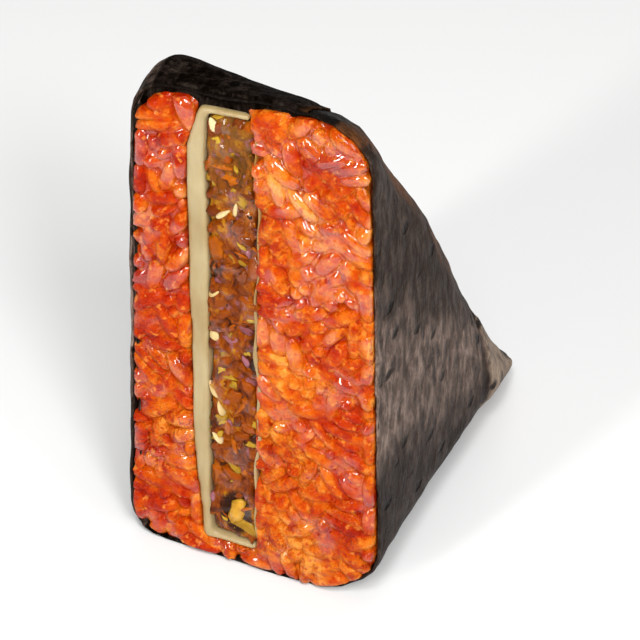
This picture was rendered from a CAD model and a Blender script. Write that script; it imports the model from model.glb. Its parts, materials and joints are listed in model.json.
import json
import math

import bmesh
import bpy
import numpy as np
from mathutils import Matrix, Vector, noise
from mathutils.bvhtree import BVHTree

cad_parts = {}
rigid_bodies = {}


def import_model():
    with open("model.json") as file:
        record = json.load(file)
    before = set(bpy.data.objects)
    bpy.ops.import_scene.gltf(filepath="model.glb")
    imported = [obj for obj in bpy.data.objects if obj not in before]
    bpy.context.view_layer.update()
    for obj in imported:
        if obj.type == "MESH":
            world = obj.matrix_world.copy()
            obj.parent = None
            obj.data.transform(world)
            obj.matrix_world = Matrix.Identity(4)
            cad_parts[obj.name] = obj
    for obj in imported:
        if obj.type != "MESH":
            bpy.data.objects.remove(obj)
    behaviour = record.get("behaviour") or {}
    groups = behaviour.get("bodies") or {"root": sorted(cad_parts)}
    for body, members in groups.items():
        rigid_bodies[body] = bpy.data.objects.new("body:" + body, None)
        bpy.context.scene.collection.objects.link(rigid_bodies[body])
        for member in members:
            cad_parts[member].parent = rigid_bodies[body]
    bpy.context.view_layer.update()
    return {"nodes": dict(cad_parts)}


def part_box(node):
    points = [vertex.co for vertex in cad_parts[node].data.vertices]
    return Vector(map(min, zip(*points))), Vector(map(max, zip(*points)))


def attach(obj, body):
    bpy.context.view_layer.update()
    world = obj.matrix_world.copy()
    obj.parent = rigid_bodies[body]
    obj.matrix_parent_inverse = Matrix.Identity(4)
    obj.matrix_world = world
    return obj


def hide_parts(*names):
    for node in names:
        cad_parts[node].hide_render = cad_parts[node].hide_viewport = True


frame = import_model()

mm = 0.001
riceLow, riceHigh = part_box("rice")
noriLow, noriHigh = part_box("nori")
cheeseLow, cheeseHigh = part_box("cheese")
fillingLow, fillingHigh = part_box("filling")
cutY = riceLow.y
tipY = noriHigh.y
body = "root"
joinedWithin = 0.01 * mm     # corners nearer than this are one
onCut = 0.05 * mm            # what is nearer than this to the knife's plane is the cut
pairSearchEvery = 6          # steps of packing between searches for neighbours
noiseSteps = (7.3, 3.1, 5.7)   # a seed moves the noise by this much
cellSteps = (2.3, 6.1, 1.7)


def rippled(values, waves, phase, phaseStep=1.7):
    # sum of (height, wave length) sines along a coordinate
    total = np.zeros_like(values)
    for number, (height, length) in enumerate(waves):
        total += height * np.sin(2 * math.pi * values / length + phase + phaseStep * number)
    return total


def readVectors(mesh, field):
    flat = np.empty(len(mesh.vertices) * 3)
    mesh.vertices.foreach_get(field, flat)
    return flat.reshape(-1, 3)


def readPoints(mesh):
    return readVectors(mesh, "co")


def readNormals(mesh):
    return readVectors(mesh, "normal")


def writePoints(mesh, points):
    mesh.vertices.foreach_set("co", np.asarray(points, dtype=np.float32).ravel())
    mesh.update()


def noiseAt(points, size, seed):
    offset = Vector([seed * step for step in noiseSteps])
    return np.array([noise.noise(Vector(p) / size + offset) for p in points])


def cellsAt(points, size, seed):
    # distance to the nearest cell centre, in cells
    offset = Vector([seed * step for step in cellSteps])
    return np.array([noise.voronoi(Vector(p) / size + offset)[0][0] for p in points])


def between(values, start, end):
    # 0 at the start, 1 at the end, soft at both
    share = np.clip((values - start) / (end - start), 0, 1)
    return share * share * (3 - 2 * share)


def nearCut(points, reach):
    # 1 at the knife's plane, 0 this far behind it
    return np.clip(1 - (points[:, 1] - cutY) / reach, 0, 1)


def pointAttribute(mesh, name, values):
    made = mesh.attributes.new(name, "FLOAT", "POINT")
    made.data.foreach_set("value", np.asarray(values, dtype=np.float32))


def editable(mesh):
    shape = bmesh.new()
    shape.from_mesh(mesh)
    return shape


def written(shape, mesh):
    shape.to_mesh(mesh)
    shape.free()
    return mesh


def skinned(shape, rows, closed):
    # faces between rows of corners
    for row, following in zip(rows, rows[1:]):
        for corner in range(len(row) if closed else len(row) - 1):
            other = (corner + 1) % len(row)
            shape.faces.new((row[corner], row[other], following[other], following[corner]))


def cadCopy(node):
    # the CAD mesh with its loose triangles joined
    mesh = frame["nodes"][node].data.copy()
    shape = editable(mesh)
    bmesh.ops.remove_doubles(shape, verts=shape.verts, dist=joinedWithin)
    written(shape, mesh).materials.clear()
    return mesh


def linkPiece(name, mesh):
    piece = bpy.data.objects.new(name, mesh)
    bpy.context.scene.collection.objects.link(piece)
    return piece


def applied(piece):
    # the evaluated piece as a plain mesh, with no modifiers left
    evaluated = piece.evaluated_get(bpy.context.evaluated_depsgraph_get())
    mesh = bpy.data.meshes.new_from_object(evaluated)
    old = piece.data
    piece.modifiers.clear()
    piece.data = mesh
    mesh.name = piece.name
    bpy.data.meshes.remove(old)
    return piece


def remeshed(piece, voxel, smoothSteps=0):
    remesh = piece.modifiers.new("remesh", "REMESH")
    remesh.mode = "VOXEL"
    remesh.voxel_size = voxel
    if smoothSteps:
        smooth = piece.modifiers.new("smooth", "SMOOTH")
        smooth.factor = 0.5
        smooth.iterations = smoothSteps
    return applied(piece)


def thickened(piece, thickness):
    # a sheet becomes a wall that grows inwards
    wall = piece.modifiers.new("thickness", "SOLIDIFY")
    wall.thickness = thickness
    wall.offset = -1
    return applied(piece)


def handIn(piece, node, material=None):
    # each material slot has its node's name
    if material is not None:
        piece.data.materials.clear()
        piece.data.materials.append(material)
    piece.data.shade_smooth()
    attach(piece, body)
    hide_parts(node)
    print(f"{piece.name}: {len(piece.data.polygons)} faces")


def addNode(tree, kind, settings=None, **inputs):
    # inputs are named with _ for a space, or _0, _1 by their number
    node = tree.nodes.new(kind)
    for key, value in (settings or {}).items():
        setattr(node, key, value)
    for key, value in inputs.items():
        socket = node.inputs[int(key[1:])] if key[0] == "_" else node.inputs[key.replace("_", " ")]
        if isinstance(value, bpy.types.NodeSocket):
            tree.links.new(value, socket)
        else:
            socket.default_value = value
    return node


def calc(tree, operation, first, second):
    return addNode(tree, "ShaderNodeMath", {"operation": operation}, _0=first, _1=second).outputs[0]


def plus(tree, first, second):
    return calc(tree, "ADD", first, second)


def times(tree, first, second):
    return calc(tree, "MULTIPLY", first, second)


def summed(tree, *parts):
    # (value, share) pairs added up in their order
    total = None
    for value, share in parts:
        part = value if share == 1 else times(tree, value, share)
        total = part if total is None else plus(tree, total, part)
    return total


def startMaterial(name, values):
    material = bpy.data.materials.new(name)
    material.use_nodes = True
    tree = material.node_tree
    shader = tree.nodes["Principled BSDF"]
    for key, value in values.items():
        shader.inputs[key].default_value = value
    place = addNode(tree, "ShaderNodeTexCoord").outputs["Object"]
    return material, tree, shader, place


def stretched(tree, place, scale, turn=(0.0, 0.0, 0.0)):
    return addNode(tree, "ShaderNodeMapping", Vector=place, Scale=scale, Rotation=turn).outputs["Vector"]


def noiseNode(tree, place, scale, detail=3.0, roughness=0.55, distortion=0.0):
    settings = {"Scale": scale, "Detail": detail, "Roughness": roughness, "Distortion": distortion}
    return addNode(tree, "ShaderNodeTexNoise", Vector=place, **settings).outputs["Fac"]


def ramp(tree, value, stops):
    # stops are (position, colour) pairs, colours linear
    made = addNode(tree, "ShaderNodeValToRGB", Fac=value)
    elements = made.color_ramp.elements
    while len(elements) < len(stops):
        elements.new(0.5)
    for element, (position, colour) in zip(elements, stops):
        element.position = position
        element.color = (*colour, 1.0)
    return made.outputs["Color"]


def mixed(tree, amount, first, second):
    # a Mix node's colours are its sockets 6 and 7, counted from 0
    made = tree.nodes.new("ShaderNodeMix")
    made.data_type = "RGBA"
    for number, value in ((0, amount), (6, first), (7, second)):
        if isinstance(value, bpy.types.NodeSocket):
            tree.links.new(value, made.inputs[number])
        elif number == 0:
            made.inputs[number].default_value = value
        else:
            made.inputs[number].default_value = (*value, 1.0)
    return made.outputs[2]


def remap(tree, value, low, high, toLow=0.0, toHigh=1.0):
    made = addNode(
        tree, "ShaderNodeMapRange", {"clamp": True}, Value=value, From_Min=low, From_Max=high,
        To_Min=toLow, To_Max=toHigh,
    )
    return made.outputs["Result"]


def attributeNode(tree, name):
    return addNode(tree, "ShaderNodeAttribute", {"attribute_name": name}).outputs["Fac"]


def bumped(tree, shader, height, distance, strength=1.0):
    made = addNode(tree, "ShaderNodeBump", Height=height, Distance=distance, Strength=strength)
    tree.links.new(made.outputs["Normal"], shader.inputs["Normal"])


def srgb(*colour):
    # a colour given in 0 to 255 as screens show it, made linear
    shares = [value / 255 for value in colour]
    return tuple(v / 12.92 if v <= 0.04045 else ((v + 0.055) / 1.055) ** 2.4 for v in shares)


# how the layers wave inside the ball
layers = {
    "bulgeRise": 0.52,       # height share where the cheese is thickest
    "thinnerFoot": 2.9 * mm,
    "thinnerTop": 0.9 * mm,
    "cornerTop": 1.7 * mm,   # the cheese's top corner is rounded off
    "cornerFrom": 0.90,
    "seamFoot": 0.5 * mm,
    "lean": 0.4,             # the waves climb by this much with depth
    "cheeseWaves": ((0.16 * mm, 31 * mm), (0.13 * mm, 12 * mm), (0.07 * mm, 5 * mm)),
    "cheesePhase": 0.6,
    "seamWaves": ((0.12 * mm, 37 * mm), (0.10 * mm, 11 * mm), (0.08 * mm, 4.5 * mm)),
    "seamPhase": 2.1,
    "fillingWaves": ((0.26 * mm, 27 * mm), (0.16 * mm, 9 * mm)),
    "fillingPhase": 4.0,
}
cheeseLeft = cheeseLow.x
cheeseRight = fillingLow.x
fillingRight = fillingHigh.x


def layerOffsets(points):
    # how far the cheese's left side, the seam and the filling's right side stray
    z = points[:, 2]
    rise = np.clip((z - cheeseLow.z) / (cheeseHigh.z - cheeseLow.z), 0, 1)
    below = np.clip(1 - rise / layers["bulgeRise"], 0, 1)
    above = np.clip((rise - layers["bulgeRise"]) / (1 - layers["bulgeRise"]), 0, 1)
    corner = np.clip((rise - layers["cornerFrom"]) / (1 - layers["cornerFrom"]), 0, 1)
    along = z + layers["lean"] * points[:, 1]
    toLeft = layers["thinnerFoot"] * below ** 2 + layers["thinnerTop"] * above ** 2
    toLeft += layers["cornerTop"] * corner ** 2
    toLeft += rippled(along, layers["cheeseWaves"], layers["cheesePhase"])
    toSeam = layers["seamFoot"] * below ** 2 + rippled(along, layers["seamWaves"], layers["seamPhase"])
    toRight = rippled(along, layers["fillingWaves"], layers["fillingPhase"])
    return toLeft, toSeam, toRight


def layerWarp(points):
    # moves the layers' boundaries sideways, and what lies between them in proportion
    points = np.array(points, dtype=float)
    x = points[:, 0]
    toLeft, toSeam, toRight = layerOffsets(points)
    knots = np.array([riceLow.x, cheeseLeft, cheeseRight, fillingRight, riceHigh.x])
    share = np.clip(np.interp(x, knots, np.arange(5.0)), 0, 4)
    offsets = np.stack([np.zeros_like(x), toLeft, toSeam, toRight, np.zeros_like(x)])
    low = np.minimum(share.astype(int), 3)
    columns = np.arange(len(x))
    past = share - low
    points[:, 0] += offsets[low, columns] * (1 - past) + offsets[low + 1, columns] * past
    return points


def wallsOf(node, swell):
    # the node's walls, moved out a little and without the cut itself
    mesh = cadCopy(node)
    normals = readNormals(mesh)
    points = layerWarp(readPoints(mesh)) + normals * swell
    points[:, 1] = np.maximum(points[:, 1], cutY - swell / 2)
    faces = np.array([tuple(face.vertices) for face in mesh.polygons])
    # a sliver that the swelling turned over would throw grains out
    first, second, third = points[faces].transpose(1, 0, 2)
    outward = np.cross(second - first, third - first)
    upright = (outward * normals[faces].sum(axis=1)).sum(axis=1) > 0
    behind = points[faces][:, :, 1].max(axis=1) > cutY + onCut
    kept = faces[upright & behind].tolist()
    bpy.data.meshes.remove(mesh)
    return BVHTree.FromPolygons([tuple(p) for p in points], kept)


def depthInside(walls, point):
    # how far inside the walls a point is, and the way back in
    place, normal, _, _ = walls.find_nearest(point)
    return (place - point).dot(normal), place, normal


def packed(walls, boxLow, boxHigh, sizes, look):
    # rods of (length, width), as three balls each, that push one another apart
    low = np.array([boxLow.x, cutY, boxLow.z])
    high = np.array([boxHigh.x, cutY + look["layer"], boxHigh.z])
    rng = np.random.default_rng(look["seed"])
    count = len(sizes)
    centres = np.empty((count, 3))
    for number in range(count):
        while True:
            trial = rng.uniform(low, high)
            if depthInside(walls, Vector(trial))[0] > look["startInside"] * sizes[number][1]:
                break
        centres[number] = trial
    turns = rng.normal(size=(count, 3)) * np.array([1.0, look["outOfPlane"], 1.0])
    turns /= np.linalg.norm(turns, axis=1, keepdims=True)
    radius = sizes[:, 1] / 2 * look["snug"]
    reach = (sizes[:, 0] - sizes[:, 1]) / 2
    owner = np.repeat(np.arange(count), 3)
    ballRadius = radius[owner]
    for step in range(look["steps"]):
        fromCentre = turns[:, None, :] * reach[:, None, None] * np.array([-1, 0, 1])[:, None]
        balls = (centres[:, None, :] + fromCentre).reshape(-1, 3)
        if step % pairSearchEvery == 0:
            gaps = sum(np.subtract.outer(balls[:, axis], balls[:, axis]) ** 2 for axis in range(3))
            limit = (ballRadius[:, None] + ballRadius[None] + look["snugMargin"]) ** 2
            first, second = np.nonzero(np.triu(gaps < limit, 1))
            others = owner[first] != owner[second]
            first, second = first[others], second[others]
        line = balls[second] - balls[first]
        length = np.linalg.norm(line, axis=1) + 1e-9
        overlap = np.clip(ballRadius[first] + ballRadius[second] - length, 0, None)
        push = line / length[:, None] * (overlap * look["pushShare"])[:, None]
        np.add.at(balls, first, -push)
        np.add.at(balls, second, push)
        balls[:, 1] -= look["pull"]
        for number, ball in enumerate(balls):
            inside, place, normal = depthInside(walls, Vector(ball))
            margin = ballRadius[number] * look["wallShare"]
            if inside < margin:
                balls[number] = place - normal * margin
        balls[:, 1] = np.clip(balls[:, 1], low[1] + ballRadius * look["frontShare"], high[1])
        trios = balls.reshape(-1, 3, 3)
        centres = trios.mean(axis=1)
        turns = trios[:, 2] - trios[:, 0]
        turns /= np.linalg.norm(turns, axis=1, keepdims=True) + 1e-9
    return centres, turns, rng


def placedPoints(name, centres, turns, stretches, rng, kinds):
    # a mesh of bare points that carries each piece's turn, stretch, kind and tint
    mesh = bpy.data.meshes.new(name)
    mesh.from_pydata([tuple(p) for p in centres], [], [])
    eulers = []
    for turn in turns:
        upright = Vector(turn).to_track_quat("Z", "Y").to_matrix()
        spun = upright @ Matrix.Rotation(rng.uniform(0, 2 * math.pi), 3, "Z")
        eulers.append(tuple(spun.to_euler()))
    chosen = rng.integers(0, kinds, len(centres)).astype(np.int32)
    tints = rng.uniform(0, 1, len(centres))
    for label, kind, field, values in (
        ("turn", "FLOAT_VECTOR", "vector", np.ravel(eulers)),
        ("stretch", "FLOAT_VECTOR", "vector", np.ravel(stretches)),
        ("kind", "INT", "value", chosen),
        ("tint", "FLOAT", "value", tints),
    ):
        mesh.attributes.new(label, kind, "POINT").data.foreach_set(field, values)
    return linkPiece(name, mesh)


def keptInside(piece, walls, look):
    # nothing passes the walls by more than the slack, and behind the cut it is tucked in deeper
    points = readPoints(piece.data)
    start, end = look["tuckedBetween"]
    least = look["tucked"] * between(points[:, 1], cutY + start, cutY + end) - look["slack"]
    for number, point in enumerate(points):
        inside, place, normal = depthInside(walls, Vector(point))
        if inside < least[number]:
            points[number] = place - normal * least[number]
    writePoints(piece.data, points)


def scatterTree(inputs):
    # points become pieces, and what passes the knife's plane is pressed back to it
    tree = bpy.data.node_groups.new("scatterAndPress", "GeometryNodeTree")
    face = tree.interface
    face.new_socket("Geometry", in_out="INPUT", socket_type="NodeSocketGeometry")
    sockets = {}
    for label, kind in (
        ("Shapes", "Collection"), ("Size", "Float"), ("Cut Plane", "Float"), ("Keep Past Cut", "Float"),
        ("Material", "Material"),
    ):
        sockets[label] = face.new_socket(label, in_out="INPUT", socket_type="NodeSocket" + kind)
    face.new_socket("Geometry", in_out="OUTPUT", socket_type="NodeSocketGeometry")
    start = tree.nodes.new("NodeGroupInput")
    end = tree.nodes.new("NodeGroupOutput")

    def named(name, kind):
        return addNode(tree, "GeometryNodeInputNamedAttribute", {"data_type": kind}, Name=name).outputs[0]

    shapesInfo = addNode(
        tree, "GeometryNodeCollectionInfo", Collection=start.outputs["Shapes"], Separate_Children=True,
        Reset_Children=True,
    )
    turn = addNode(tree, "FunctionNodeEulerToRotation", Euler=named("turn", "FLOAT_VECTOR"))
    size = addNode(
        tree, "ShaderNodeVectorMath", {"operation": "SCALE"}, _0=named("stretch", "FLOAT_VECTOR"),
        Scale=start.outputs["Size"],
    )
    placed = addNode(
        tree, "GeometryNodeInstanceOnPoints", Points=start.outputs["Geometry"],
        Instance=shapesInfo.outputs["Instances"], Pick_Instance=True, Instance_Index=named("kind", "INT"),
        Rotation=turn.outputs["Rotation"], Scale=size.outputs["Vector"],
    )
    real = addNode(tree, "GeometryNodeRealizeInstances", Geometry=placed.outputs["Instances"])
    position = addNode(tree, "GeometryNodeInputPosition").outputs["Position"]
    split = addNode(tree, "ShaderNodeSeparateXYZ", Vector=position)
    fromCut = calc(tree, "SUBTRACT", split.outputs["Y"], start.outputs["Cut Plane"])
    share = calc(tree, "SUBTRACT", start.outputs["Keep Past Cut"], 1.0)
    moved = addNode(tree, "ShaderNodeCombineXYZ", Y=times(tree, calc(tree, "MINIMUM", fromCut, 0.0), share))
    pressed = addNode(
        tree, "GeometryNodeSetPosition", Geometry=real.outputs["Geometry"], Offset=moved.outputs["Vector"],
    )
    finished = addNode(
        tree, "GeometryNodeSetMaterial", Geometry=pressed.outputs["Geometry"],
        Material=start.outputs["Material"],
    )
    tree.links.new(finished.outputs["Geometry"], end.inputs["Geometry"])
    return tree, {sockets[label].identifier: value for label, value in inputs.items()}


def scattered(points, shapes, look, material):
    # each point gets one of the shapes, as a plain mesh
    holder = bpy.data.collections.new(points.name + "Shapes")
    for mesh in shapes:
        holder.objects.link(bpy.data.objects.new(mesh.name, mesh))
    tree, values = scatterTree({
        "Shapes": holder, "Size": 1.0, "Cut Plane": cutY, "Keep Past Cut": look["keepPastCut"],
        "Material": material,
    })
    modifier = points.modifiers.new("scatter", "NODES")
    modifier.node_group = tree
    for identifier, value in values.items():
        modifier[identifier] = value
    applied(points)
    for shape in list(holder.objects):
        bpy.data.objects.remove(shape)
    bpy.data.collections.remove(holder)
    return points


riceLook = {
    "count": 760,
    "length": 5.7 * mm,
    "width": 2.55 * mm,
    "lengthSpread": 0.09,
    "widthSpread": 0.07,
    "thicknessSpread": 0.06,
    "layer": 6.5 * mm,       # how far behind the cut grains are made
    "seed": 5,
    "outOfPlane": 0.55,
    "snug": 0.86,            # grains press into one another
    "snugMargin": 1.2 * mm,
    "pushShare": 0.42,
    "pull": 0.02 * mm,
    "wallShare": 0.6,
    "startInside": 0.2,
    "frontShare": 0.30,
    "steps": 60,
    "keepPastCut": 0.85,
    "swell": 0.30 * mm,      # the ball is pressed against its wrap
    "slack": 0.02 * mm,
    "tucked": 0.20 * mm,     # so that no grain shows through the wrap
    "tuckedBetween": (1 * mm, 3 * mm),
    # each grain's name, bend, dent, fullness and seed
    "grains": (
        ("grainPlump", 0.05, 0.10, 0.30, 1.0),
        ("grainBent", 0.16, 0.14, 0.22, 4.0),
        ("grainSlim", 0.09, 0.05, 0.16, 8.0),
        ("grainDented", 0.11, 0.24, 0.30, 13.0),
        ("grainSwollen", 0.03, 0.08, 0.42, 21.0),
    ),
    "flattened": 0.86,
    "dentAt": 0.72,
    "dentReach": 0.28,
    "bendMean": 0.3,         # keeps a bent grain centred
    "lumpScale": 1.9,
    "lumpStep": 9.5,
    "lumps": (0.07, 0.07, 0.03),
    "blockVoxel": 0.8 * mm,
    "blockRecess": 0.62 * mm,
    "massVoxel": 0.34 * mm,
    "massSmooth": 2,
    "massThinned": 0.68,
    "massDepth": 3.0 * mm,
    "massSunk": 0.08 * mm,
    "massUneven": 0.42 * mm,
    "massPatch": 5 * mm,
    "massTint": 0.3,
    "massSwell": 0.8,        # the mass swells less than the walls do
    "bright": srgb(218, 134, 52),
    "pale": srgb(196, 100, 18),
    "orange": srgb(180, 66, 1),
    "red": srgb(163, 37, 2),
    "deep": srgb(140, 20, 1),
    "crease": srgb(104, 10, 0),
    "speck": srgb(142, 16, 0),
    "creaseFrom": 0.10 * mm,
    "creaseDepth": 1.6 * mm,
    "creaseMost": 0.75,
    "leftRedder": 0.06,
    # noises as (scale, detail, roughness)
    "patches": (115, 2.0, 0.5),
    "streaks": (520, 3.0, 0.6),
    "fine": (620, 3.0, 0.55),
    "wrinkles": (2300, 2.0, 0.5),
    "pools": (75, 1.0),
    "film": (170, 2.0),
    "toneShares": (0.80, 0.18, 0.55, 0.60),
    "toneRange": (0.78, 1.30),
    "toneStops": ((0.0, "deep"), (0.20, "red"), (0.48, "orange"), (0.80, "pale"), (1.0, "bright")),
    # noise, where it starts and is full, how much of it, colour
    "flecks": (
        ((430, 3.0, 0.6), 0.43, 0.35, 0.75, "speck"),
        ((1150, 2.0, 0.5), 0.40, 0.33, 0.7, "red"),
        ((980, 2.0, 0.5), 0.60, 0.68, 0.55, "bright"),
    ),
    "wetRise": (30 * mm, 58 * mm),   # glossiest towards the top
    "wetPools": -0.07,
    "wetFilm": 0.05,
    # ranges as (low, high, value at low, value at high)
    "poolRange": (0.40, 0.56, 0.4, 1.0),
    "filmRange": (0.515, 0.59, 0.04, 1.0),
    "wetRange": (0.0, 1.0, 0.70, 1.0),
    "roughRange": (0.3, 0.7, 0.2, 0.42),
    "wrinkleShare": 0.5,
    "bump": 0.9 * mm,
}


def ballMesh(name, segments=10, rings=8):
    # a ball one unit across, always with its corners in the same order
    points = [(0.0, 0.0, -0.5)]
    for ring in range(1, rings):
        fromPole = math.pi * ring / rings
        for step in range(segments):
            turn = 2 * math.pi * step / segments
            across = 0.5 * math.sin(fromPole)
            points.append((across * math.cos(turn), across * math.sin(turn), -0.5 * math.cos(fromPole)))
    points.append((0.0, 0.0, 0.5))
    top = len(points) - 1
    faces = []
    for step in range(segments):
        here = 1 + step
        beside = 1 + (step + 1) % segments
        faces.append((0, beside, here))
        for ring in range(rings - 2):
            up = ring * segments
            faces.append((here + up, beside + up, beside + up + segments, here + up + segments))
        up = (rings - 2) * segments
        faces.append((here + up, beside + up, top))
    mesh = bpy.data.meshes.new(name)
    mesh.from_pydata(points, [], faces)
    mesh.shade_smooth()
    return mesh


def grainMesh(name, bend, dent, fullness, seed):
    # a plump cooked grain, one unit long on Z and one wide, with a dent where its germ was
    look = riceLook
    mesh = ballMesh(name)
    for vertex in mesh.vertices:
        height = vertex.co.z * 2
        full = 1 + fullness * height ** 2 * (1 - height ** 4)
        vertex.co.x *= full
        vertex.co.y *= full * look["flattened"]
        fromDent = (height - look["dentAt"]) / look["dentReach"]
        vertex.co.x -= dent * (math.exp(-fromDent ** 2) * max(vertex.co.x, 0) * 2)
        vertex.co.x += bend * (height ** 2 - look["bendMean"])
        spot = vertex.co * look["lumpScale"] + Vector((seed, 0, 0))
        vertex.co += Vector([
            noise.noise(spot + Vector((0, 0, look["lumpStep"] * axis))) * lump
            for axis, lump in enumerate(look["lumps"])
        ])
    return mesh


def riceMaterial():
    look = riceLook
    material, tree, shader, place = startMaterial("sauceCoatedRice", {
        "Roughness": 0.3,
        "IOR": 1.42,
        "Specular IOR Level": 0.22,
        "Specular Tint": (1.0, 0.42, 0.16, 1.0),
        "Subsurface Weight": 0.25,
        "Subsurface Radius": (1.0, 0.3, 0.1),
        "Subsurface Scale": 0.8 * mm,
        "Coat Roughness": 0.10,
        "Coat IOR": 1.70,
    })
    split = addNode(tree, "ShaderNodeSeparateXYZ", Vector=place)
    patches, streaks, fine, wrinkles, pools, film = (
        noiseNode(tree, place, *look[name])
        for name in ("patches", "streaks", "fine", "wrinkles", "pools", "film")
    )
    tones = (patches, attributeNode(tree, "tint"), streaks, fine)
    onLeft = remap(tree, split.outputs["X"], cheeseLeft, cheeseLeft + 1 * mm, look["leftRedder"], 0.0)
    tone = calc(tree, "SUBTRACT", summed(tree, *zip(tones, look["toneShares"])), onLeft)
    stops = [(position, look[name]) for position, name in look["toneStops"]]
    colour = ramp(tree, remap(tree, tone, *look["toneRange"]), stops)
    for kind, start, full, most, name in look["flecks"]:
        flecks = remap(tree, noiseNode(tree, place, *kind), start, full, 0.0, most)
        colour = mixed(tree, flecks, colour, look[name])
    start, end = cutY + look["creaseFrom"], cutY + look["creaseDepth"]
    crease = remap(tree, split.outputs["Y"], start, end, 0.0, look["creaseMost"])
    colour = mixed(tree, crease, colour, look["crease"])
    tree.links.new(colour, shader.inputs["Base Color"])
    tree.links.new(remap(tree, fine, *look["roughRange"]), shader.inputs["Roughness"])
    # smooth and shiny where sauce lies thick
    wet = remap(tree, split.outputs["Z"], *look["wetRise"])
    pooled = remap(tree, summed(tree, (pools, 1), (wet, look["wetPools"])), *look["poolRange"])
    film = remap(tree, summed(tree, (film, 1), (wet, look["wetFilm"])), *look["filmRange"])
    tree.links.new(times(tree, film, remap(tree, wet, *look["wetRange"])), shader.inputs["Coat Weight"])
    height = summed(tree, (fine, 1), (wrinkles, look["wrinkleShare"]))
    bumped(tree, shader, times(tree, height, pooled), look["bump"])
    return material


def warpedCopy(name, node, voxel, smoothSteps=0):
    piece = linkPiece(name, cadCopy(node))
    writePoints(piece.data, layerWarp(readPoints(piece.data)))
    return remeshed(piece, voxel, smoothSteps)


def stickyMass(name, node, bits, look):
    # what the loose pieces stick to: the whole node, set back at the cut and drawn up between them
    block = warpedCopy(name, node, look["blockVoxel"])
    points = readPoints(block.data) + readNormals(block.data) * look["swell"] * look["massSwell"]
    near = nearCut(points, 3 * look["blockRecess"])
    points[:, 1] += near * look["blockRecess"]
    writePoints(block.data, points)
    shape = editable(block.data)
    for bit in bits:
        shape.from_mesh(bit.data)
    written(shape, block.data).materials.clear()
    remeshed(block, look["massVoxel"], look["massSmooth"])
    points = readPoints(block.data)
    near = nearCut(points, look["massDepth"])
    sunk = look["massSunk"] + look["massUneven"] * noiseAt(points, look["massPatch"], 8)
    points[:, 1] += near * sunk
    writePoints(block.data, points)
    if look["massThinned"] < 1:
        block.modifiers.new("thinned", "DECIMATE").ratio = look["massThinned"]
        applied(block)
    pointAttribute(block.data, "tint", np.full(len(block.data.vertices), look["massTint"]))
    return block


def makeRiceGrains(material):
    look = riceLook
    walls = wallsOf("rice", look["swell"])
    rng = np.random.default_rng(look["seed"] + 1)
    lengths = look["length"] * rng.normal(1.0, look["lengthSpread"], look["count"])
    widths = look["width"] * rng.normal(1.0, look["widthSpread"], look["count"])
    sizes = np.stack([lengths, widths], axis=1)
    centres, turns, rng = packed(walls, riceLow, riceHigh, sizes, look)
    thicknesses = widths * rng.normal(1, look["thicknessSpread"], look["count"])
    stretches = np.stack([thicknesses, widths, lengths], axis=1)
    shapes = [grainMesh(*grain) for grain in look["grains"]]
    grains = placedPoints("riceGrains", centres, turns, stretches, rng, len(shapes))
    scattered(grains, shapes, look, material)
    keptInside(grains, walls, look)
    handIn(grains, "rice")
    handIn(stickyMass("stickyRice", "rice", [grains], look), "rice", material)


cheeseLook = {
    "voxel": 0.38 * mm,
    "smooth": 7,
    "proud": 0.45 * mm,      # the melted edge stands out of the cut
    "fade": 1.4 * mm,
    "cream": srgb(171, 155, 117),
    "shade": srgb(150, 128, 84),
    "sauced": srgb(134, 92, 32),
    "saucedWidth": 0.8 * mm,
    "saucedMost": 0.75,
    "proudMean": 0.75,
    "unevenSize": 4 * mm,
    "softNoise": (320, 3.0),
    "softRange": (0.3, 0.68),
    "saucedRange": (0.3, 0.6, 0.5, 1.0),
    "bumpNoise": (700, 2.0),
    "bump": 0.10 * mm,
    "bumpStrength": 0.4,
}


def cheeseMaterial():
    look = cheeseLook
    material, tree, shader, place = startMaterial("meltedCheese", {
        "Roughness": 0.42,
        "IOR": 1.45,
        "Subsurface Weight": 0.4,
        "Subsurface Radius": (1.0, 0.7, 0.35),
        "Subsurface Scale": 1.6 * mm,
        "Coat Weight": 0.12,
        "Coat Roughness": 0.25,
    })
    soft = noiseNode(tree, stretched(tree, place, (1.0, 1.0, 0.35)), *look["softNoise"])
    colour = ramp(tree, remap(tree, soft, *look["softRange"]), [(0.0, look["shade"]), (1.0, look["cream"])])
    sauced = times(tree, attributeNode(tree, "sauced"), remap(tree, soft, *look["saucedRange"]))
    colour = mixed(tree, sauced, colour, look["sauced"])
    tree.links.new(colour, shader.inputs["Base Color"])
    bumped(tree, shader, noiseNode(tree, place, *look["bumpNoise"]), look["bump"], look["bumpStrength"])
    return material


def makeCheese(material):
    look = cheeseLook
    cheese = warpedCopy("cheeseSlice", "cheese", look["voxel"], look["smooth"])
    points = readPoints(cheese.data)
    near = nearCut(points, look["fade"])
    swell = noiseAt(points * np.array([1, 1, 0.6]), look["unevenSize"], 3)
    points[:, 1] -= near * look["proud"] * (look["proudMean"] + swell)
    writePoints(cheese.data, points)
    leftSide = cheeseLeft + layerOffsets(points)[0]
    sauced = between(points[:, 0], leftSide + look["saucedWidth"], leftSide + 0.1 * mm)
    pointAttribute(cheese.data, "sauced", look["saucedMost"] * sauced)
    handIn(cheese, "cheese", material)


cheeseSmearLook = {
    "width": 0.8 * mm,
    "narrowed": 0.55,        # its upper part is thinner
    "narrowedBetween": (0.45, 0.65),
    "uneven": 0.5,
    "edge": 0.1 * mm,
    "depth": 2.5 * mm,
    "fromFoot": 1.5 * mm,
    "toShare": 0.97,         # how far up the filling it reaches
    "steps": 80,
    "proud": 0.4 * mm,
    "sauced": 0.4,
}


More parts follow.
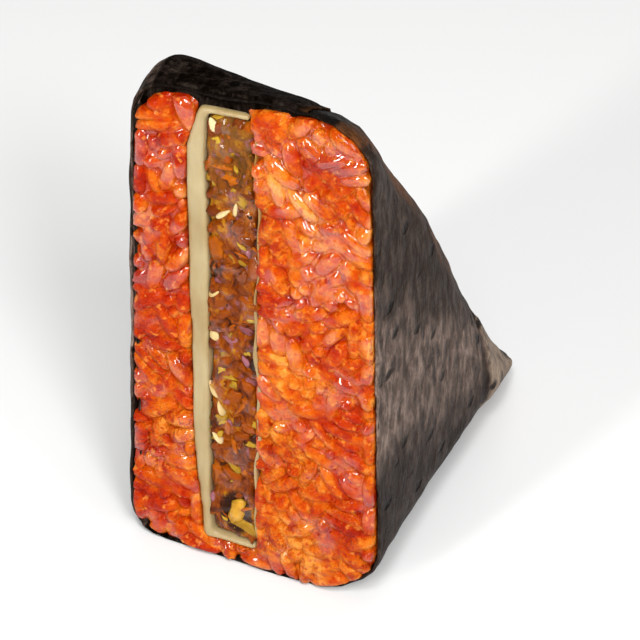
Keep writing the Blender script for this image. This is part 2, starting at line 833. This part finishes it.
def makeCheeseSmear(material):
    # a thin line of melted cheese down the filling's right side
    look = cheeseSmearLook
    top = fillingLow.z + (fillingHigh.z - fillingLow.z) * look["toShare"]
    z = np.linspace(fillingLow.z + look["fromFoot"], top, look["steps"])
    middle = layerWarp(np.stack([np.full_like(z, fillingRight), np.full_like(z, cutY), z], axis=1))[:, 0]
    share = np.linspace(0, 1, look["steps"])
    half = look["width"] / 2 * np.sqrt(np.sin(math.pi * np.clip(share, 0.01, 0.99)))
    half *= 1 - (1 - look["narrowed"]) * between(share, *look["narrowedBetween"])
    half *= 0.8 + look["uneven"] * np.array([noise.noise(Vector((value * 22, 5.0, 2.0))) for value in share])
    rightSide = ((0.5, -look["proud"]), (1, look["edge"]), (1, look["depth"]))
    outline = [(-side, back) for side, back in reversed(rightSide)] + list(rightSide)
    shape = bmesh.new()
    rings = []
    for number in range(look["steps"]):
        place = [(middle[number] + side * half[number], cutY + back, z[number]) for side, back in outline]
        rings.append([shape.verts.new(corner) for corner in place])
    skinned(shape, rings, True)
    shape.faces.new(rings[0])
    shape.faces.new(rings[-1])
    bmesh.ops.recalc_face_normals(shape, faces=shape.faces)
    mesh = written(shape, bpy.data.meshes.new("cheeseSmear"))
    rise = (readPoints(mesh)[:, 2] - z[0]) / (z[-1] - z[0])
    sauced = look["sauced"] + (1 - look["sauced"]) * between(rise, *look["narrowedBetween"])
    pointAttribute(mesh, "sauced", sauced)
    handIn(linkPiece("cheeseSmear", mesh), "cheese", material)


fillingLook = {
    "count": 400,
    "layer": 4.0 * mm,
    "seed": 23,
    "outOfPlane": 0.6,
    "snug": 0.80,
    "snugMargin": 1.0 * mm,
    "pushShare": 0.4,
    "pull": 0.02 * mm,
    "wallShare": 0.7,
    "startInside": 0.4,
    "frontShare": 0.3,
    "steps": 40,
    "keepPastCut": 0.45,
    "swell": 0.40 * mm,
    "blockVoxel": 0.6 * mm,
    "blockRecess": 0.6 * mm,
    "massVoxel": 0.3 * mm,
    "massSmooth": 3,
    "massThinned": 1.0,
    "massDepth": 2.5 * mm,
    "massSunk": -0.04 * mm,
    "massUneven": 0.5 * mm,
    "massPatch": 2.6 * mm,
    "massTint": 0.4,
    "massSwell": 0.8,
    "sizeSpread": 0.2,
    "shapeSpread": 0.08,
    "crumbs": 4,             # shapes of crumb for each kind
    "crumbRough": 0.55,
    "bigBit": (2.5 * mm, 1.7 * mm, 4.6 * mm),
    "bigBitAcross": 0.56,    # its place as shares of the filling's width and height
    "bigBitUp": 0.065,
    "bigBitBack": 0.35 * mm,
    "bigBitTurn": 12,        # degrees
    "bigBitRough": 0.35,
    "bigBitTint": 0.6,
    "bigBitTones": (srgb(140, 84, 10), srgb(208, 160, 52), 0.25, 0.3, 0.7),
    "bigBitRoom": 2.5 * mm,  # dark juice gathers round it
    "bigBitClear": 0.55,     # share of the room that is kept free of bits
    "bigBitDark": 0.7,       # share of the room that is darkest
    "roomSquash": 0.6,
    "juice": 0.6,
    "sesameCount": 8,
    "sesameSize": (1.3 * mm, 0.7 * mm, 2.2 * mm),
    "sesameFoot": 12 * mm,
    "sesameTop": 5 * mm,
    "sesameStray": 2.4 * mm,
    "sesameAcross": (0.14, 0.85),
    "sesameToCheese": (1.0, 3.2),
    "sesameTurn": (0.6, 0.25),
    "sesameTones": (srgb(176, 144, 84), srgb(218, 200, 156), 0.35, 0.3, 0.4),
    "film": (330, 2.0),
    "filmRange": (0.50, 0.58, 0.05),
    "mottle": (700, 4.0, 0.6),
    "mottleShares": (0.55, 0.6),
    "mottleRange": (0.25, 0.9),
    "shreds": (560, 4.0, 0.62, 0.7),
    "shredStops": (
        (0.34, srgb(48, 14, 1)), (0.45, srgb(104, 40, 2)), (0.56, srgb(138, 66, 3)),
        (0.70, srgb(170, 116, 18)),
    ),
    "olive": srgb(114, 86, 32),
    "oliveFrom": 16 * mm,    # measured down from the filling's top
    "oliveTo": 3 * mm,
    "oliveMost": 0.45,
    "purple": srgb(136, 82, 92),
    "purpleNoise": (620, 2.0),
    "purpleRange": (0.60, 0.68, 0.0, 0.7),
    "dark": srgb(38, 12, 4),
    "sauceGrain": (1500, 3.0, 0.6),
    "sauceGrainShare": 0.3,
    # bumps as (distance, strength)
    "sauceBump": (0.8 * mm, 0.9),
    "bitBump": (0.15 * mm, 0.6),
}


def lumpMesh(name, rough, seed, swellScale=2.6, creaseScale=4.5):
    # a torn crumb, about one unit across
    shape = bmesh.new()
    bmesh.ops.create_icosphere(shape, subdivisions=2, radius=0.5)
    for vertex in shape.verts:
        swell = noise.noise(vertex.co * swellScale + Vector((seed, seed * 2, 0)))
        crease = abs(noise.noise(vertex.co * creaseScale + Vector((0, seed, 3.0))))
        vertex.co *= 1 + rough * (swell - crease)
    mesh = written(shape, bpy.data.meshes.new(name))
    mesh.shade_smooth()
    return mesh


def seedMesh(name, pointed=0.28):
    # a flat teardrop seed, one unit long on Z
    mesh = ballMesh(name)
    for vertex in mesh.vertices:
        height = vertex.co.z * 2
        narrow = 1 - pointed * (height + 0.2)
        vertex.co.x *= narrow
        vertex.co.y *= narrow
    return mesh


def startSauced(name, roughness, subsurface, coat):
    # soft food under broken patches of a wet film
    material, tree, shader, place = startMaterial(name, {
        "Roughness": roughness,
        "IOR": 1.42,
        "Specular IOR Level": 0.15,
        "Specular Tint": (1.0, 0.6, 0.3, 1.0),
        "Subsurface Weight": subsurface,
        "Subsurface Radius": (1.0, 0.5, 0.2),
        "Subsurface Scale": 0.8 * mm,
        "Coat Roughness": 0.08,
        "Coat IOR": 1.5,
    })
    film = noiseNode(tree, place, *fillingLook["film"])
    tree.links.new(remap(tree, film, *fillingLook["filmRange"], coat), shader.inputs["Coat Weight"])
    return material, tree, shader, place


def bitMaterial(name, dark, light, roughness, subsurface, coat):
    look = fillingLook
    material, tree, shader, place = startSauced(name, roughness, subsurface, coat)
    mottle = noiseNode(tree, place, *look["mottle"])
    tone = summed(tree, *zip((attributeNode(tree, "tint"), mottle), look["mottleShares"]))
    colour = mixed(tree, remap(tree, tone, *look["mottleRange"]), dark, light)
    tree.links.new(colour, shader.inputs["Base Color"])
    bumped(tree, shader, mottle, *look["bitBump"])
    return material


# name, share, (width, thickness, length) in mm, dark, light, roughness, subsurface, coat
fillingKinds = (
    ("mincedMeat", 0.32, (2.0, 1.4, 2.6), srgb(84, 30, 2), srgb(142, 64, 5), 0.35, 0.2, 0.7),
    ("friedKimchi", 0.26, (2.2, 0.9, 3.6), srgb(122, 48, 2), srgb(166, 86, 9), 0.3, 0.2, 0.8),
    ("onionBits", 0.25, (1.4, 0.9, 2.6), srgb(126, 86, 12), srgb(180, 144, 44), 0.25, 0.3, 0.8),
    ("purpleCabbage", 0.10, (1.2, 0.8, 2.2), srgb(100, 46, 50), srgb(158, 102, 114), 0.3, 0.2, 0.5),
    ("darkBits", 0.07, (1.4, 1.1, 1.8), srgb(26, 8, 2), srgb(58, 20, 4), 0.4, 0.0, 0.4),
)


def fillingMassMaterial():
    # sauce, fat and shreds that have run together
    look = fillingLook
    material, tree, shader, place = startSauced("fillingSauce", 0.35, 0.2, 0.8)
    shreds = noiseNode(tree, stretched(tree, place, (1.0, 1.0, 0.5), (0.0, 0.5, 0.0)), *look["shreds"])
    height = addNode(tree, "ShaderNodeSeparateXYZ", Vector=place).outputs["Z"]
    start, end = fillingHigh.z - look["oliveFrom"], fillingHigh.z - look["oliveTo"]
    olive = remap(tree, height, start, end, 0.0, look["oliveMost"])
    purple = remap(tree, noiseNode(tree, place, *look["purpleNoise"]), *look["purpleRange"])
    dark = remap(tree, attributeNode(tree, "tint"), look["massTint"], look["massTint"] - look["juice"])
    colour = ramp(tree, shreds, look["shredStops"])
    for amount, name in ((olive, "olive"), (purple, "purple"), (dark, "dark")):
        colour = mixed(tree, amount, colour, look[name])
    tree.links.new(colour, shader.inputs["Base Color"])
    grain = noiseNode(tree, place, *look["sauceGrain"])
    height = summed(tree, (shreds, 1), (grain, look["sauceGrainShare"]))
    bumped(tree, shader, height, *look["sauceBump"])
    return material


def bigBitPlace():
    look = fillingLook
    x = fillingLow.x + (fillingHigh.x - fillingLow.x) * look["bigBitAcross"]
    z = fillingLow.z + (fillingHigh.z - fillingLow.z) * look["bigBitUp"]
    return layerWarp(np.array([[x, cutY + look["bigBitBack"], z]]))[0]


def fromBigBit(points, place):
    return np.hypot(points[:, 0] - place[0], (points[:, 2] - place[2]) * fillingLook["roomSquash"])


def makeBigBit(place):
    # one larger piece of fried onion near the foot
    look = fillingLook
    mesh = lumpMesh("friedOnion", look["bigBitRough"], 11.0)
    turn = Matrix.Rotation(math.radians(look["bigBitTurn"]), 4, "Y")
    mesh.transform(Matrix.Translation(place) @ (turn @ Matrix.Diagonal((*look["bigBit"], 1.0))))
    pointAttribute(mesh, "tint", np.full(len(mesh.vertices), look["bigBitTint"]))
    handIn(linkPiece("friedOnion", mesh), "filling", bitMaterial("friedOnion", *look["bigBitTones"]))


def makeFillingBits():
    look = fillingLook
    walls = wallsOf("filling", look["swell"])
    rng = np.random.default_rng(look["seed"] + 1)
    count = look["count"]
    shares = np.array([kind[1] for kind in fillingKinds])
    kinds = rng.choice(len(fillingKinds), count, p=shares / shares.sum())
    stretches = np.array([fillingKinds[kind][2] for kind in kinds]) * mm
    swellings = rng.lognormal(0.0, look["sizeSpread"], (count, 1))
    stretches *= swellings * rng.normal(1.0, look["shapeSpread"], (count, 3))
    sizes = np.stack([np.maximum(stretches[:, 2], stretches[:, 0]), stretches[:, :2].mean(axis=1)], axis=1)
    centres, turns, rng = packed(walls, fillingLow, fillingHigh, sizes, look)
    room = look["bigBitRoom"]
    bigPlace = bigBitPlace()
    clear = fromBigBit(centres, bigPlace) > room * look["bigBitClear"]
    makeBigBit(bigPlace)
    bits = []
    for number, (name, _, _, *tones) in enumerate(fillingKinds):
        chosen = (kinds == number) & clear
        points = placedPoints(name, centres[chosen], turns[chosen], stretches[chosen], rng, look["crumbs"])
        shapes = [
            lumpMesh(f"{name}Crumb{crumb}", look["crumbRough"], 3.1 * crumb + number)
            for crumb in range(look["crumbs"])
        ]
        scattered(points, shapes, look, bitMaterial(name, *tones))
        handIn(points, "filling")
        bits.append(points)
    mass = stickyMass("fillingMass", "filling", bits, look)
    dark = between(fromBigBit(readPoints(mass.data), bigPlace), room, room * look["bigBitDark"])
    tint = (look["massTint"] - look["juice"] * dark).astype(np.float32)
    mass.data.attributes["tint"].data.foreach_set("value", tint)
    handIn(mass, "filling", fillingMassMaterial())


def makeSesame():
    # pale seeds lying on the filling, most of them beside the cheese
    look = fillingLook
    rng = np.random.default_rng(look["seed"] + 7)
    count = look["sesameCount"]
    z = np.linspace(fillingLow.z + look["sesameFoot"], fillingHigh.z - look["sesameTop"], count)
    z = z + rng.normal(0, look["sesameStray"], count)
    across = np.clip(rng.beta(*look["sesameToCheese"], count), *look["sesameAcross"])
    x = fillingLow.x + (fillingHigh.x - fillingLow.x) * across
    centres = layerWarp(np.stack([x, np.full(count, cutY + 0.1 * mm), z], axis=1))
    sideways = [rng.normal(0, spread, count) for spread in look["sesameTurn"]]
    turns = np.stack([*sideways, np.ones(count)], axis=1)
    turns /= np.linalg.norm(turns, axis=1, keepdims=True)
    stretches = np.array(look["sesameSize"]) * rng.normal(1.0, look["shapeSpread"], (count, 3))
    points = placedPoints("sesameSeeds", centres, turns, stretches, rng, 1)
    material = bitMaterial("sesame", *look["sesameTones"])
    scattered(points, [seedMesh("sesameShape")], {"keepPastCut": 1.0}, material)
    handIn(points, "filling")


noriLook = {
    "voxel": 0.50 * mm,
    "thickness": 0.32 * mm,
    "lead": 4.0 * mm,        # the hull runs this far past the cut before it is trimmed
    "leadFrom": 0.6 * mm,    # corners this near to the cut are carried past it
    "grainBump": 0.16 * mm,
    "grainBumpSize": 4.2 * mm,
    "wave": 0.14 * mm,
    "waveSize": 11 * mm,
    "crinkle": 0.12 * mm,
    "crinkleSize": 2.0 * mm,
    "deepest": 0.10 * mm,    # the rice behind it must stay covered
    "footFlat": 4 * mm,      # the bumps fade towards the foot
    "footBumps": 0.15,       # down to this share
    "rimReach": 1.2 * mm,
    "rimSize": 5 * mm,
    "rimRagged": 0.30 * mm,
    "rimProud": -0.12 * mm,
    "dark": srgb(43, 33, 28),
    "mid": srgb(101, 84, 75),
    "light": srgb(150, 129, 117),
    "black": srgb(7, 4, 2),
    "foot": srgb(34, 24, 20),
    "toasted": srgb(34, 20, 10),
    "edgeBrown": srgb(100, 59, 28),
    "slopeShade": 1.0,
    "sheen": 0.08,
    # pairs say where a thing begins and where it is full
    "wornReach": (5.4 * mm, 3.4 * mm),
    "wornFacing": (0.15, 0.5),
    "wornRise": (0.36, 0.50),
    "wornSize": 5 * mm,
    "wornMean": 0.7,
    "wornPatchy": 1.4,
    "wornLit": 0.7,          # how much of the shade it takes away
    "sideFacing": (0.35, 0.75),
    "levelHeight": 2 * mm,
    "slopeShare": 0.84,      # the slope's run for its length
    "tab": srgb(156, 136, 118),
    "tabDepth": 14.0 * mm,   # how far back from the tip the folded corner reaches
    "tabLift": 0.35 * mm,
    "tabEdge": 0.5 * mm,
    "tabStands": (0.5 * mm, 4 * mm),
    "tabGroove": 0.22 * mm,
    "grooveBefore": 1.0 * mm,
    "grooveWidth": 0.9 * mm,
    "grooveShade": 0.4,
    "foldWave": 0.4 * mm,
    "foldWaveSize": 3.1 * mm,
    "foldLean": 0.06,
    "foldShade": 0.3,
    "foldShadeReach": (-8 * mm, -1.5 * mm),
    "foldShadeRise": (11 * mm, 4 * mm),
    "tipTurn": 1.5 * mm,     # the corner's foot is drawn out to a point
    "tipReach": 0.5 * mm,
    "tipRise": 6.0 * mm,
    "tipFrom": 20.0 * mm,
    "tipFull": 8.0 * mm,
    "tipLast": 5 * mm,
    "tipFacing": (-0.5, 0.3),
    "toastedRise": (0.61, 0.70),
    "toastedSlant": 0.84,
    "footRise": (0.41, 0.27),
    "footSlant": 0.45,
    "blotches": ((0.05, 9 * mm, 3), (0.03, 3 * mm, 5)),
    "shadeFacing": (0.45, 0.85),
    # name, squeeze and lean, scale, detail, roughness, range, share in the tone
    "toneNoises": (
        ("streaks", 0.42, 0.14, (720, 3.0, 0.6), 0.38, 0.62, 0.40),
        ("broad", 0.26, 0.14, (300, 3.0, 0.6), 0.36, 0.64, 0.18),
        ("fibres", 0.32, 0.14, (1600, 4.0, 0.6), 0.38, 0.62, 0.18),
        ("cloud", 1.0, 0.0, (85, 3.0, 0.55), 0.34, 0.66, 0.12),
        ("grain", 0.6, 0.0, (3200, 3.0, 0.6), 0.36, 0.64, 0.12),
    ),
    "toneStops": ((0.15, "dark"), (0.5, "mid"), (0.85, "light")),
    # attribute, range of the tone that thins it, colour
    "toneStains": (
        ("toasted", (0.2, 0.8, 1.0, 0.72), "toasted"),
        ("foot", (0.2, 0.8, 1.0, 0.86), "foot"),
        ("shade", (0.2, 0.8, 1.0, 0.9), "black"),
        ("worn", (0.0, 0.55), "edgeBrown"),
        ("tab", (0.24, 0.62, 0.25, 1.0), "tab"),
    ),
    "pitScale": 360,
    "pitRange": (0.13, 0.25, 1.0, 0.0),
    "pitPatches": (190, 2.0),
    "pitPatchRange": (0.36, 0.42),
    "pitDark": 0.9,
    "roughRange": (0.3, 0.7, 0.42, 0.66),
    "bumpShares": (("streaks", 1.4), ("fibres", 0.8), ("grain", 0.25)),
    "bump": 0.8 * mm,
}


def outerWalls(node):
    # only the faces that look out of the shell
    mesh = cadCopy(node)
    points = [vertex.co.copy() for vertex in mesh.vertices]
    whole = BVHTree.FromPolygons(points, [tuple(face.vertices) for face in mesh.polygons])
    kept = []
    for face in mesh.polygons:
        normal = face.normal
        if face.area < 1e-12 or (normal.y < -0.9 and face.center.y < cutY + 2 * onCut):
            continue
        hit = whole.ray_cast(face.center + normal * 0.02 * mm, normal)
        if hit[0] is None:
            kept.append(tuple(face.vertices))
    bpy.data.meshes.remove(mesh)
    return BVHTree.FromPolygons(points, kept)


def noriMaterial(name, sheen):
    look = noriLook
    material, tree, shader, place = startMaterial(name, {
        "Roughness": 0.55,
        "IOR": 1.45,
        "Specular IOR Level": sheen,
        "Specular Tint": (1.0, 0.85, 0.78, 1.0),
    })
    noises, parts = {}, []
    for kind, squeeze, lean, settings, low, high, share in look["toneNoises"]:
        leant = stretched(tree, place, (1.0, 1.0, squeeze), (lean, 0.0, 0.0))
        noises[kind] = noiseNode(tree, leant, *settings)
        parts.append((remap(tree, noises[kind], low, high), share))
    tone = summed(tree, *parts)
    pits = addNode(
        tree, "ShaderNodeTexVoronoi", Vector=stretched(tree, place, (1.0, 0.55, 0.9)), Scale=look["pitScale"],
        Randomness=1.0,
    )
    patches = remap(tree, noiseNode(tree, place, *look["pitPatches"]), *look["pitPatchRange"])
    pitted = times(tree, remap(tree, pits.outputs["Distance"], *look["pitRange"]), patches)
    sheet = ramp(tree, tone, [(position, look[colour]) for position, colour in look["toneStops"]])
    for attribute, thinned, colour in look["toneStains"]:
        share = times(tree, attributeNode(tree, attribute), remap(tree, tone, *thinned))
        sheet = mixed(tree, share, sheet, look[colour])
    sheet = mixed(tree, times(tree, pitted, look["pitDark"]), sheet, look["black"])
    tree.links.new(sheet, shader.inputs["Base Color"])
    tree.links.new(remap(tree, noises["fibres"], *look["roughRange"]), shader.inputs["Roughness"])
    height = summed(tree, *((noises[kind], share) for kind, share in look["bumpShares"]))
    bumped(tree, shader, calc(tree, "SUBTRACT", height, pitted), look["bump"])
    return material


def noriHull(look):
    # hull of the CAD sheet, run on past the cut, remeshed and then trimmed back to it
    source = cadCopy("nori")
    shape = editable(source)
    bmesh.ops.delete(shape, geom=list(shape.faces), context="FACES_ONLY")
    for vertex in list(shape.verts):
        if vertex.co.y < cutY + look["leadFrom"]:
            shape.verts.new(vertex.co - Vector((0, look["lead"], 0)))
    hull = bmesh.ops.convex_hull(shape, input=list(shape.verts), use_existing_faces=False)
    unused = set(hull["geom_interior"] + hull["geom_unused"])
    unused = [item for item in unused if isinstance(item, bmesh.types.BMVert)]
    bmesh.ops.delete(shape, geom=unused, context="VERTS")
    bmesh.ops.recalc_face_normals(shape, faces=shape.faces)
    nori = linkPiece("noriSheet", written(shape, bpy.data.meshes.new("noriSheet")))
    bpy.data.meshes.remove(source)
    remeshed(nori, look["voxel"])
    shape = editable(nori.data)
    bmesh.ops.bisect_plane(
        shape, geom=shape.verts[:] + shape.edges[:] + shape.faces[:], dist=joinedWithin,
        plane_co=(0, cutY, 0), plane_no=(0, -1, 0), clear_outer=True,
    )
    written(shape, nori.data)
    walls = outerWalls("nori")
    points = readPoints(nori.data)
    for number, point in enumerate(points):
        place = walls.find_nearest(Vector(point))[0]
        points[number] = (place.x, max(place.y, cutY) if point[1] > cutY + 2 * onCut else cutY, place.z)
    writePoints(nori.data, points)
    nori.modifiers.new("even", "SMOOTH").iterations = 2
    return applied(nori)


def makeNori(material):
    look = noriLook
    nori = noriHull(look)
    points = readPoints(nori.data)
    normals = readNormals(nori.data)
    facing = normals[:, 0]
    flat = np.clip((points[:, 2] - noriLow.z) / look["footFlat"], 0, 1)
    cells = cellsAt(points, look["grainBumpSize"], 4)
    push = look["grainBump"] * (0.5 - cells) + look["wave"] * noiseAt(points, look["waveSize"], 6)
    push += look["crinkle"] * noiseAt(points * np.array([1, 1, 0.4]), look["crinkleSize"], 9)
    push = np.maximum(push, -look["deepest"])
    points += normals * (push * (look["footBumps"] + (1 - look["footBumps"]) * flat))[:, None]
    rim = nearCut(points, look["rimReach"])
    points[:, 1] -= rim * (look["rimProud"] + look["rimRagged"] * noiseAt(points, look["rimSize"], 12))
    writePoints(nori.data, points)
    # the worn strip along the slope's right edge
    side = between(facing, *look["sideFacing"])
    worn = between(facing, *look["wornFacing"])
    worn = worn * between(slopeDistance(points, normals), *look["wornReach"])
    patches = look["wornMean"] + look["wornPatchy"] * noiseAt(points, look["wornSize"], 2)
    worn *= between(points[:, 2] / noriHigh.z, *look["wornRise"]) * patches.clip(0, 1)
    pointAttribute(nori.data, "worn", worn)
    # the corner folded over at the tip, with a groove before it
    foldWave = look["foldWave"] * np.sin(points[:, 2] / look["foldWaveSize"])
    foldWave += look["foldLean"] * points[:, 2]
    pastFold = points[:, 1] - (tipY - look["tabDepth"]) - foldWave
    tab = side * np.clip(pastFold / look["tabEdge"], 0, 1)
    pointAttribute(nori.data, "tab", tab)
    groove = side * np.exp(-((pastFold + look["grooveBefore"]) / look["grooveWidth"]) ** 2)
    standing = between(points[:, 2], *look["tabStands"])
    points += normals * ((tab * look["tabLift"] - groove * look["tabGroove"]) * standing)[:, None]
    toTip = between(points[:, 1], tipY - look["tipFrom"], tipY - look["tipFull"])
    toTip *= between(points[:, 2], look["tipRise"], 1 * mm) * between(facing, *look["tipFacing"])
    points[:, 0] += toTip * look["tipTurn"]
    points[:, 1] += toTip * between(points[:, 1], tipY - look["tipLast"], tipY) * look["tipReach"]
    writePoints(nori.data, points)
    # toasted brown towards the apex, darker towards the foot, black in the fold and off the sides
    blotch = sum(height * noiseAt(points, size, seed) for height, size, seed in look["blotches"])
    rise = points[:, 2] / noriHigh.z + blotch
    back = (points[:, 1] - cutY) / noriHigh.z
    for name in ("toasted", "foot"):
        tone = between(rise + look[name + "Slant"] * back, *look[name + "Rise"])
        pointAttribute(nori.data, name, tone)
    nearFold = look["foldShade"] * between(pastFold, *look["foldShadeReach"]) * (pastFold < 0)
    nearFold = nearFold * between(points[:, 2], *look["foldShadeRise"])
    shade = np.clip(look["grooveShade"] * groove + side * nearFold, 0, look["slopeShade"])
    onSides = between(np.abs(facing), *look["shadeFacing"])
    shade = look["slopeShade"] - (look["slopeShade"] - shade) * onSides
    pointAttribute(nori.data, "shade", shade * (1 - look["wornLit"] * worn))
    thickened(nori, look["thickness"])
    handIn(nori, "nori", material)
    return nori


def slopeDistance(points, normals):
    # how far a point of the right side lies from the slope's edge at its height
    look = noriLook
    level = np.round(points[:, 2] / look["levelHeight"]).astype(int)
    level -= level.min()
    edge = np.full(level.max() + 1, cutY)
    onSide = normals[:, 0] > look["sideFacing"][0]
    np.maximum.at(edge, level[onSide], points[onSide, 1])
    rise = (points[:, 2] - points[:, 2].min()) / look["levelHeight"]
    return (np.interp(rise, np.arange(len(edge)), edge) - points[:, 1]) * look["slopeShare"]


flapLook = {
    "rowsAcross": 60,
    "rowsAlong": 150,
    "firstTurn": -5.2,       # degrees from straight up, seen from inside the ball
    "lastTurn": 120.0,
    "sheen": 0.004,
    "overEdge": 0.94,        # how far it is followed round the slope's left edge
    "edgeTop": 6.8 * mm,     # where its free edge crosses the apex, and the foot
    "edgeFoot": 3.0 * mm,
    "tears": ((0.7 * mm, 14, 3.0), (0.35 * mm, 60, 9.0)),   # height, number of waves, seed
    "fromLeft": 0.5 * mm,
    "lift": 0.30 * mm,
    "sunk": 0.08 * mm,
    "thickness": 0.28 * mm,
    "ripple": 0.14 * mm,
    "rippleSize": 5 * mm,
    "frayed": 1.1 * mm,
    "frayedBrown": 0.3,
    "middle": (0.0, 3 * mm, 0.42),   # x, distance behind the cut, share of the height
    "edgeStep": 0.2 * mm,
    "rounded": 0.8,          # corners lie closer where the sheet turns the edge
    "sunkAcross": 0.25,      # shares of its width and length that run into the sheet
    "sunkAlong": 0.04,
    "pastCut": 0.1 * mm,
    "slopeFacing": (0.85, 0.45),
}


def makeFlap(nori, material):
    # the left side's sheet goes on over the sloping side as a second layer, its free edge torn
    look = flapLook
    surface = BVHTree.FromObject(nori, bpy.context.evaluated_depsgraph_get())
    x, back, share = look["middle"]
    inside = Vector((x, cutY + back, share * noriHigh.z))
    fromX = noriLow.x + look["fromLeft"]
    shape = bmesh.new()
    grid, frays = [], []

    def outerPoint(x, way):
        # where the seaweed is met from outside, and how far that is from the middle of the ball
        origin = Vector((x, inside.y, inside.z))
        hit, normal, _, _ = surface.ray_cast(origin + way * 0.1, -way)
        return hit, normal, (0.0 if hit is None else (hit - origin).length)

    for along in range(look["rowsAlong"] + 1):
        share = along / look["rowsAlong"]
        turn = math.radians(look["firstTurn"] + (look["lastTurn"] - look["firstTurn"]) * share)
        way = Vector((0, math.sin(turn), math.cos(turn)))
        edge = look["edgeTop"] + (look["edgeFoot"] - look["edgeTop"]) * share
        for height, waves, seed in look["tears"]:
            edge += height * noise.noise(Vector((share * waves, seed, 0.0)))
        reach = outerPoint(0.0, way)[2]
        start = fromX
        while outerPoint(start, way)[2] < look["overEdge"] * reach:
            start += look["edgeStep"]
        row = []
        for across in range(look["rowsAcross"] + 1):
            where = across / look["rowsAcross"]
            x = start + (edge - start) * (1 - math.cos(where * math.pi / 2)) ** look["rounded"]
            hit, normal, _ = outerPoint(x, way)
            lift = look["lift"] + look["ripple"] * abs(noise.noise(hit / look["rippleSize"]))
            ends = min(where / look["sunkAcross"], (1 - share) / look["sunkAlong"], 1.0)
            place = hit + normal * (lift * ends - look["sunk"] * (1 - ends))
            front = cutY - look["pastCut"]
            place.y = max(place.y, front) if along else front
            row.append(shape.verts.new(place))
            frays.append(max(0.0, 1 - (edge - x) / look["frayed"]))
        grid.append(row)
    skinned(shape, grid, False)
    bmesh.ops.recalc_face_normals(shape, faces=shape.faces)
    mesh = written(shape, bpy.data.meshes.new("seaweedFlap"))
    flap = linkPiece("seaweedFlap", mesh)
    normals = readNormals(mesh)
    if np.mean(normals[:, 2]) < 0:
        mesh.flip_normals()
        normals = -normals
    onSlope = between(np.abs(normals[:, 0]), *look["slopeFacing"])
    pointAttribute(mesh, "shade", noriLook["slopeShade"] * onSlope)
    pointAttribute(mesh, "worn", look["frayedBrown"] * np.array(frays))
    for name in ("tab", "toasted", "foot"):
        pointAttribute(mesh, name, np.zeros(len(frays)))
    thickened(flap, look["thickness"])
    handIn(flap, "nori", material)


stageLook = {
    "floorSize": 3.0,
    "floor": (0.80, 0.80, 0.80),
    "world": (1.0, 1.0, 1.0),
    "worldStrength": 0.21,
}

# name, watts, width and height in metres, place, colour
lamps = (
    ("stripLamp", 1.7, (0.06, 0.26), (-0.16, -0.52, 0.22), (1.0, 0.98, 0.95)),
    ("glintLampRight", 1.6, (0.12, 0.11), (0.34, -0.40, 0.50), (1.0, 1.0, 1.0)),
    ("glintLampHigh", 1.3, (0.11, 0.10), (0.10, -0.34, 0.62), (1.0, 1.0, 1.0)),
    ("windowLamp", 2.1, (0.34, 0.18), (0.22, -0.37, 0.56), (1.0, 1.0, 1.0)),
    ("sideLamp", 0.68, (0.25, 0.25), (0.55, -0.20, 0.38), (1.0, 0.98, 0.95)),
    ("topLamp", 1.15, (0.60, 0.60), (0.00, 0.20, 0.80), (1.0, 1.0, 1.0)),
)

cameraLook = {
    "azimuth": 23.5,
    "elevation": 40.9,
    "roll": 0.7,
    "distance": 0.50,
    "lens": 226.0,
    "target": (-0.0016, 0.0, 0.0212),
}


def makeStage():
    half = stageLook["floorSize"] / 2
    mesh = bpy.data.meshes.new("floor")
    corners = [(-half, -half, 0), (half, -half, 0), (half, half, 0), (-half, half, 0)]
    mesh.from_pydata(corners, [], [(0, 1, 2, 3)])
    floor = linkPiece("floor", mesh)
    floor.location.z = noriLow.z
    paint = {"Roughness": 0.7, "Base Color": (*stageLook["floor"], 1.0)}
    mesh.materials.append(startMaterial("paleFloor", paint)[0])
    world = bpy.data.worlds.new("studio")
    world.use_nodes = True
    sky = world.node_tree.nodes["Background"]
    sky.inputs["Color"].default_value = (*stageLook["world"], 1.0)
    sky.inputs["Strength"].default_value = stageLook["worldStrength"]
    bpy.context.scene.world = world
    print("stage: floor and world")


def aimed(thing, place, target):
    thing.location = place
    thing.rotation_euler = (Vector(target) - Vector(place)).to_track_quat("-Z", "Y").to_euler()
    bpy.context.scene.collection.objects.link(thing)


def makeLights():
    for name, watts, size, place, colour in lamps:
        lamp = bpy.data.lights.new(name, "AREA")
        lamp.energy = watts
        lamp.shape = "RECTANGLE"
        lamp.size, lamp.size_y = size
        lamp.color = colour
        aimed(bpy.data.objects.new(name, lamp), place, cameraLook["target"])
    print(f"lights: {len(lamps)}")


def makeCamera():
    azimuth = math.radians(cameraLook["azimuth"])
    elevation = math.radians(cameraLook["elevation"])
    level = math.cos(elevation)
    back = Vector((math.sin(azimuth) * level, -math.cos(azimuth) * level, math.sin(elevation)))
    target = Vector(cameraLook["target"])
    data = bpy.data.cameras.new("camera")
    data.lens = cameraLook["lens"]
    data.sensor_width = 36.0
    camera = bpy.data.objects.new("camera", data)
    aimed(camera, target + back * cameraLook["distance"], target)
    spin = Matrix.Rotation(math.radians(cameraLook["roll"]), 3, "Z")
    camera.rotation_euler = (camera.rotation_euler.to_matrix() @ spin).to_euler()
    bpy.context.scene.camera = camera
    bpy.context.scene.view_settings.view_transform = "Standard"
    print(f"camera: {cameraLook['lens']:.0f} mm")


rice = riceMaterial()
makeRiceGrains(rice)
cheese = cheeseMaterial()
makeCheese(cheese)
makeCheeseSmear(cheese)
makeFillingBits()
makeSesame()
nori = makeNori(noriMaterial("roastedSeaweed", noriLook["sheen"]))
makeFlap(nori, noriMaterial("roastedSeaweedFlap", flapLook["sheen"]))
makeStage()
makeLights()
makeCamera()
